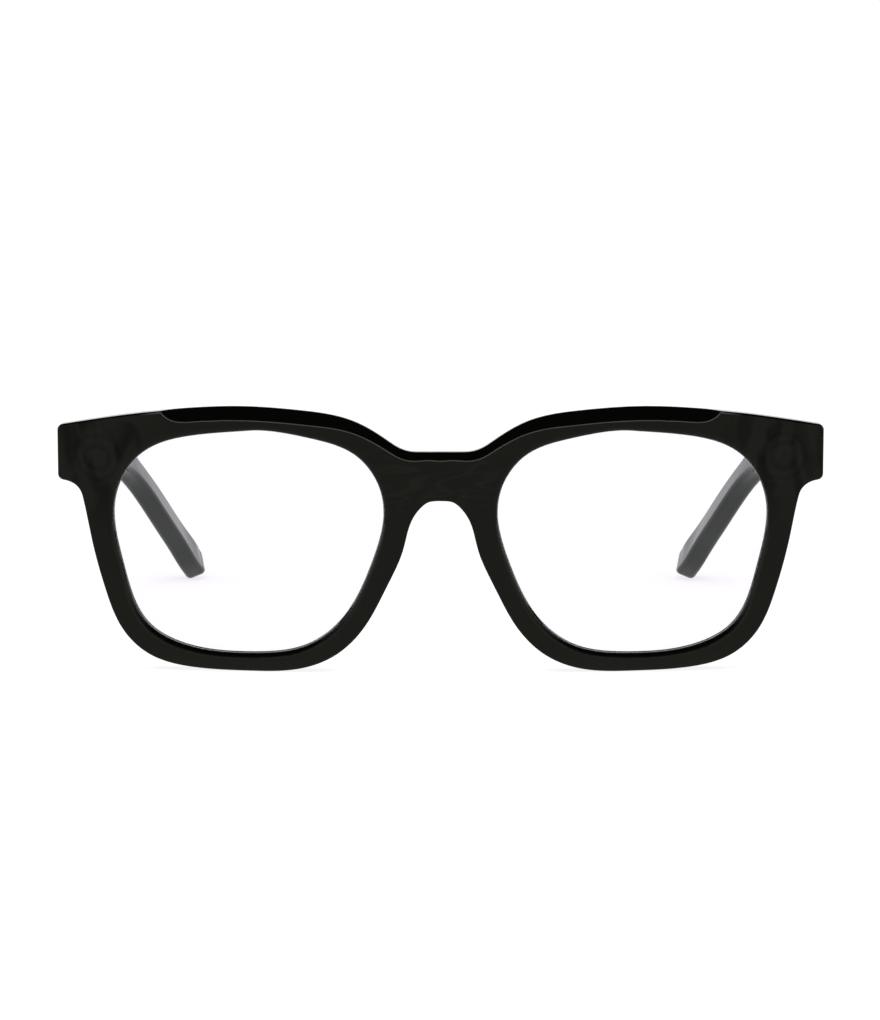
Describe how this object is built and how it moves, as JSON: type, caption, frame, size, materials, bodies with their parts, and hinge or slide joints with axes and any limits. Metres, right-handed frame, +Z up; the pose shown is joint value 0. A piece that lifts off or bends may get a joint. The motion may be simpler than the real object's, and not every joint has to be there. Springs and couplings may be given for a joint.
{
  "type": "blue light glasses",
  "caption": "Chunky square full-rim glasses with clear curved lenses, moulded nose pads and hooked temples that fold and spring outward on sprung hinges.",
  "frame": {"origin": "on the resting plane, midway between the lowest points of the two rims", "axes": "+Z up, the front faces -Y, the open temples run towards +Y, +X is the wearer's left"},
  "size_m": [0.1434, 0.1293, 0.0495],
  "materials": {
    "frame_plastic": "polished black",
    "lens": "clear, coated",
    "hinge_steel": "satin",
    "spring_steel": "drawn wire",
    "steel_wire": "drawn wire",
    "screw_steel": "polished",
    "nylon": "natural"
  },
  "bodies": {
    "front": {"front_frame": "frame_plastic", "left_lens": "lens", "left_front_hinge_plate": "hinge_steel", "right_lens": "lens", "right_front_hinge_plate": "hinge_steel"},
    "left_screw": {"left_hinge_screw": "screw_steel"},
    "left_bush": {"left_hinge_bush": "nylon"},
    "left_slider": {"left_slider": "hinge_steel", "left_spring_stop": "hinge_steel", "left_spring": "spring_steel"},
    "left_temple": {"left_temple": "frame_plastic", "left_core_wire": "steel_wire", "left_spring_housing": "hinge_steel", "left_spring_guide_ring": "hinge_steel"},
    "right_screw": {"right_hinge_screw": "screw_steel"},
    "right_bush": {"right_hinge_bush": "nylon"},
    "right_slider": {"right_slider": "hinge_steel", "right_spring_stop": "hinge_steel", "right_spring": "spring_steel"},
    "right_temple": {"right_temple": "frame_plastic", "right_core_wire": "steel_wire", "right_spring_housing": "hinge_steel", "right_spring_guide_ring": "hinge_steel"}
  },
  "joints": [
    {"name": "left_screw_turn", "type": "hinge", "parent": "front", "child": "left_screw", "pos_m": [0.06505, 0.013, 0.0409], "axis": [0, 0.0802, 0.9968], "range_deg": [-90, 90]},
    {"name": "left_temple_fold", "type": "hinge", "parent": "front", "child": "left_bush", "pos_m": [0.06505, 0.013, 0.0409], "axis": [0, 0.0802, 0.9968], "range_deg": [0, 84]},
    {"name": "left_temple_flex", "type": "hinge", "parent": "left_bush", "child": "left_slider", "pos_m": [0.06505, 0.013, 0.0409], "axis": [0, 0.0802, 0.9968], "range_deg": [-12, 0], "stiffness_Nm_per_rad": 0.4},
    {"name": "left_spring_slide", "type": "slide", "parent": "left_slider", "child": "left_temple", "axis": [0, 0.9968, -0.0802], "range_m": [0, 0.0014], "deforming": ["left_spring"]},
    {"name": "right_screw_turn", "type": "hinge", "parent": "front", "child": "right_screw", "pos_m": [-0.06505, 0.013, 0.0409], "axis": [0, 0.0802, 0.9968], "range_deg": [-90, 90]},
    {"name": "right_temple_fold", "type": "hinge", "parent": "front", "child": "right_bush", "pos_m": [-0.06505, 0.013, 0.0409], "axis": [0, -0.0802, -0.9968], "range_deg": [0, 67]},
    {"name": "right_temple_flex", "type": "hinge", "parent": "right_bush", "child": "right_slider", "pos_m": [-0.06505, 0.013, 0.0409], "axis": [0, -0.0802, -0.9968], "range_deg": [-12, 0], "stiffness_Nm_per_rad": 0.4},
    {"name": "right_spring_slide", "type": "slide", "parent": "right_slider", "child": "right_temple", "axis": [0, 0.9968, -0.0802], "range_m": [0, 0.0014], "deforming": ["right_spring"]}
  ],
  "couplings": [
    {"joint": "left_spring_slide", "follows": "left_temple_flex", "m_per_rad": -0.0065},
    {"joint": "right_spring_slide", "follows": "right_temple_flex", "m_per_rad": -0.0065}
  ]
}
